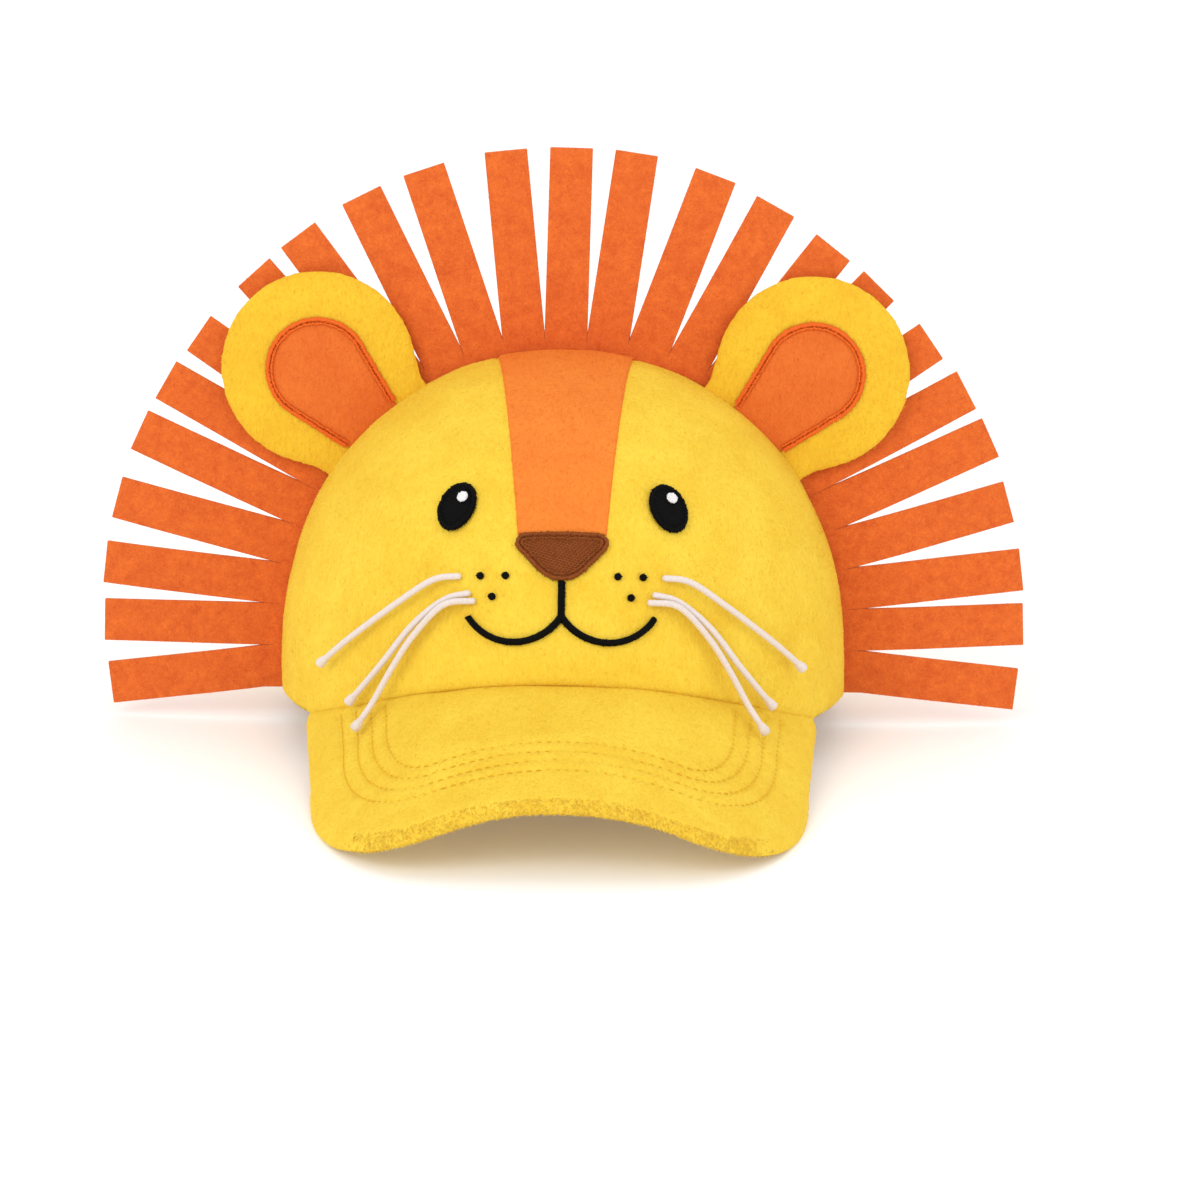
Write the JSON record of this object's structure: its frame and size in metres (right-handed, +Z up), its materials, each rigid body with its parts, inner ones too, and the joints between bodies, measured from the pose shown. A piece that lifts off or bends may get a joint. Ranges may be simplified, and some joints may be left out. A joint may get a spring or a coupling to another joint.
{
  "type": "lion party hat",
  "caption": "Child's plush lion cap with a stitched peak, a fan-cut felt mane over the crown, padded ears, and an embroidered face with cord whiskers.",
  "frame": {"origin": "on the ground, in the middle of the hat's footprint box, as the hat stands by itself", "axes": "+Z up, the face and the peak towards -Y, +X to the right of someone facing the hat; the mane's felt stands across, from -X to +X"},
  "size_m": [0.2532, 0.2296, 0.1573],
  "materials": {
    "plush_yellow": "short-pile plush",
    "plush_orange": "short-pile plush",
    "felt_orange": "matte felt",
    "thread_orange": "satin embroidery thread",
    "thread_brown": "satin embroidery thread",
    "thread_black": "satin embroidery thread",
    "thread_white": "satin embroidery thread",
    "whisker_cord": "twisted matte cord"
  },
  "bodies": {
    "root": {"crown_front": "plush_yellow", "crown_back": "plush_yellow", "forehead_stripe": "plush_orange", "peak": "plush_yellow", "mane": "felt_orange", "ear_left": "plush_yellow", "ear_right": "plush_yellow", "inner_ear_left": "plush_orange", "inner_ear_right": "plush_orange", "inner_ear_border_left": "thread_orange", "inner_ear_border_right": "thread_orange", "eye_left": "thread_black", "eye_right": "thread_black", "eye_highlight_left": "thread_white", "eye_highlight_right": "thread_white", "nose": "thread_brown", "nose_border": "thread_brown", "mouth": "thread_black", "freckle_left_1": "thread_black", "freckle_left_2": "thread_black", "freckle_left_3": "thread_black", "freckle_right_1": "thread_black", "freckle_right_2": "thread_black", "freckle_right_3": "thread_black", "whisker_left_upper": "whisker_cord", "whisker_left_middle": "whisker_cord", "whisker_left_lower": "whisker_cord", "whisker_right_upper": "whisker_cord", "whisker_right_middle": "whisker_cord", "whisker_right_lower": "whisker_cord"}
  },
  "joints": []
}
